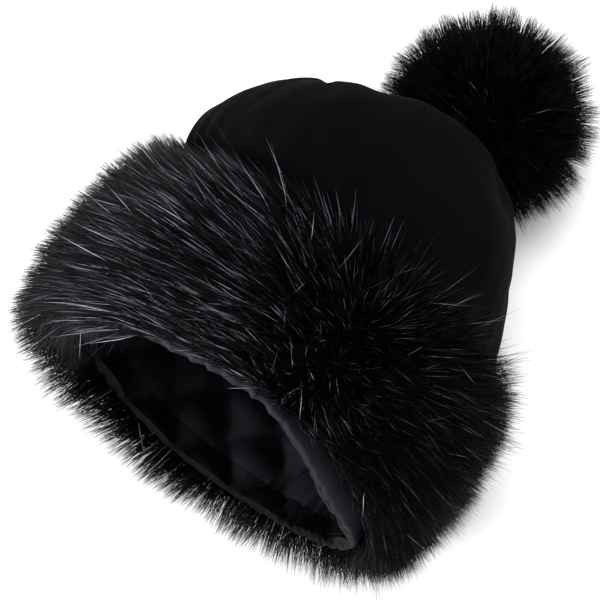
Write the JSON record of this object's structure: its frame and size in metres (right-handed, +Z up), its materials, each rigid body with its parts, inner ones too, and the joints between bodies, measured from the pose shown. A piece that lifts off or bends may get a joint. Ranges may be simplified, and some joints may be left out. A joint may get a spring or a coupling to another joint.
{
  "type": "fur-cuffed winter hat with pompom",
  "caption": "Soft winter hat lying on its side: velvet crown, deep fur cuff, quilted lining, gathered hem and a fur pompom. Worn on the head for warmth.",
  "frame": {"origin": "bottom centre of the bounding box, on the surface that the hat lies on", "axes": "+Z up; the hat lies on its side with the crown and pompom toward +Y and the head opening facing -Y; X is across the opening"},
  "size_m": [0.2756, 0.3384, 0.244],
  "materials": {
    "fur": "long black acrylic faux fur, slightly glossy hairs",
    "pompom_fur": "dense black acrylic faux fur, slightly glossy hairs",
    "velvet": "matt black cut velvet with a faint navy tint",
    "lining_satin": "dark grey polyester satin, quilted over wadding",
    "hem_satin": "dark violet-grey polyester satin casing, gathered",
    "button_plastic": "plain moulded disc"
  },
  "bodies": {
    "root": {"fur_cuff": "fur", "pompom": "pompom_fur", "crown": "velvet", "lining": "lining_satin", "hem": "hem_satin", "pompom_button": "button_plastic"}
  },
  "joints": []
}
